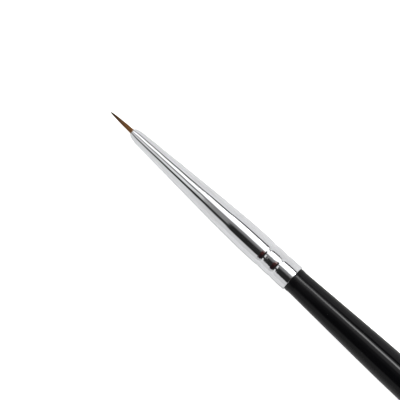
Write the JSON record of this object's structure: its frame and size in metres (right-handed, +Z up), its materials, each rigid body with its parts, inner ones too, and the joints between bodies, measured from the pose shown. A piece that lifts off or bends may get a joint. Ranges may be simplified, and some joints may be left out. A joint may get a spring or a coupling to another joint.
{
  "type": "fine detail brush",
  "caption": "Slim paint brush with a needle-pointed hair tuft, a long tapered crimped metal ferrule and a lacquered wooden handle that swells and thins to its tail.",
  "frame": {"origin": "on the surface the brush lies on, under the middle of its length", "axes": "+X along the brush from the hair tip to the tail end, +Z up as it lies on its belly, +Y across it"},
  "size_m": [0.18, 0.0066, 0.0065],
  "materials": {
    "hair": "satin",
    "thread": "matte",
    "epoxy": "gloss",
    "plated_metal": "polished",
    "white_glue": "satin",
    "black_lacquer": "gloss"
  },
  "bodies": {
    "root": {"hair_tuft": "hair", "root_binding": "thread", "hair_glue_plug": "epoxy", "ferrule": "plated_metal", "tenon_glue": "white_glue", "handle": "black_lacquer"}
  },
  "joints": []
}
